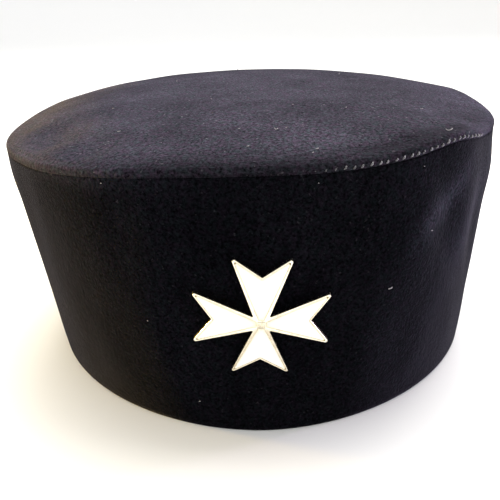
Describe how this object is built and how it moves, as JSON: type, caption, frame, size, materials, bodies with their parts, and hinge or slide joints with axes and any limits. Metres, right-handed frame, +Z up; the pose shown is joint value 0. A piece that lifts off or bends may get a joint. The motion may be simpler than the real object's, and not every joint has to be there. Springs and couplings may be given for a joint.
{
  "type": "ceremonial pillbox cap",
  "caption": "Stiff oval pillbox cap of black velvet, flaring upward to a gently domed top, with a white enamelled eight-pointed cross badge on the front.",
  "frame": {"origin": "under the middle of the cap, on the plane that its rim rests on", "axes": "+Z up out of the top; the front with the cross faces -Y; +X is to the right seen from the front"},
  "size_m": [0.1894, 0.2295, 0.1021],
  "materials": {
    "side_velvet": "black cotton velvet with a short dense nap, blue-violet sheen at grazing angles",
    "top_velvet": "the same black velvet, its nap lying so that it shows a grey-violet sheen",
    "gilt_metal": "polished pale gilt",
    "white_enamel": "glossy white vitreous enamel",
    "nut_brass": "plain satin brass"
  },
  "bodies": {
    "root": {"side_band": "side_velvet", "tip": "top_velvet", "badge_cross": "gilt_metal", "enamel_arm_top": "white_enamel", "enamel_arm_left": "white_enamel", "enamel_arm_bottom": "white_enamel", "enamel_arm_right": "white_enamel", "badge_nut": "nut_brass"}
  },
  "joints": []
}
